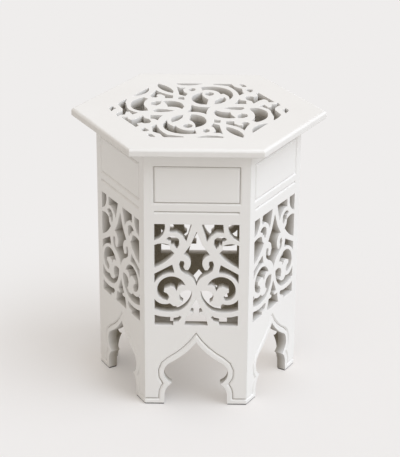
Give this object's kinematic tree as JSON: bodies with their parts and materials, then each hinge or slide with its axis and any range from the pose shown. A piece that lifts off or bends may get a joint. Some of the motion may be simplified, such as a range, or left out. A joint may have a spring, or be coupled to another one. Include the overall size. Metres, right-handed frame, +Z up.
{
  "type": "hexagonal coffee table",
  "caption": "Low hexagonal coffee table of white painted board with a pierced scrollwork top, pierced side panels and ogee arches cut between its feet.",
  "frame": {"origin": "on the floor, at the middle of the six feet", "axes": "+Z up; -Y towards the flat front side; two corners of the hexagon lie on X"},
  "size_m": [0.4, 0.3464, 0.45],
  "materials": {
    "painted_mdf": "satin white paint on medium-density fibreboard",
    "raw_softwood": "bare planed softwood",
    "raw_beech": "bare beech",
    "felt": "dark grey felt"
  },
  "bodies": {
    "root": {"top_board": "painted_mdf", "side_panel_front": "painted_mdf", "side_panel_front_right": "painted_mdf", "side_panel_back_right": "painted_mdf", "side_panel_back": "painted_mdf", "side_panel_back_left": "painted_mdf", "side_panel_front_left": "painted_mdf", "corner_block_right": "raw_softwood", "corner_block_back_right": "raw_softwood", "corner_block_back_left": "raw_softwood", "corner_block_left": "raw_softwood", "corner_block_front_left": "raw_softwood", "corner_block_front_right": "raw_softwood", "foot_pad_right": "felt", "foot_pad_back_right": "felt", "foot_pad_back_left": "felt", "foot_pad_left": "felt", "foot_pad_front_left": "felt", "foot_pad_front_right": "felt", "loose_tongues": "raw_beech"}
  },
  "joints": []
}
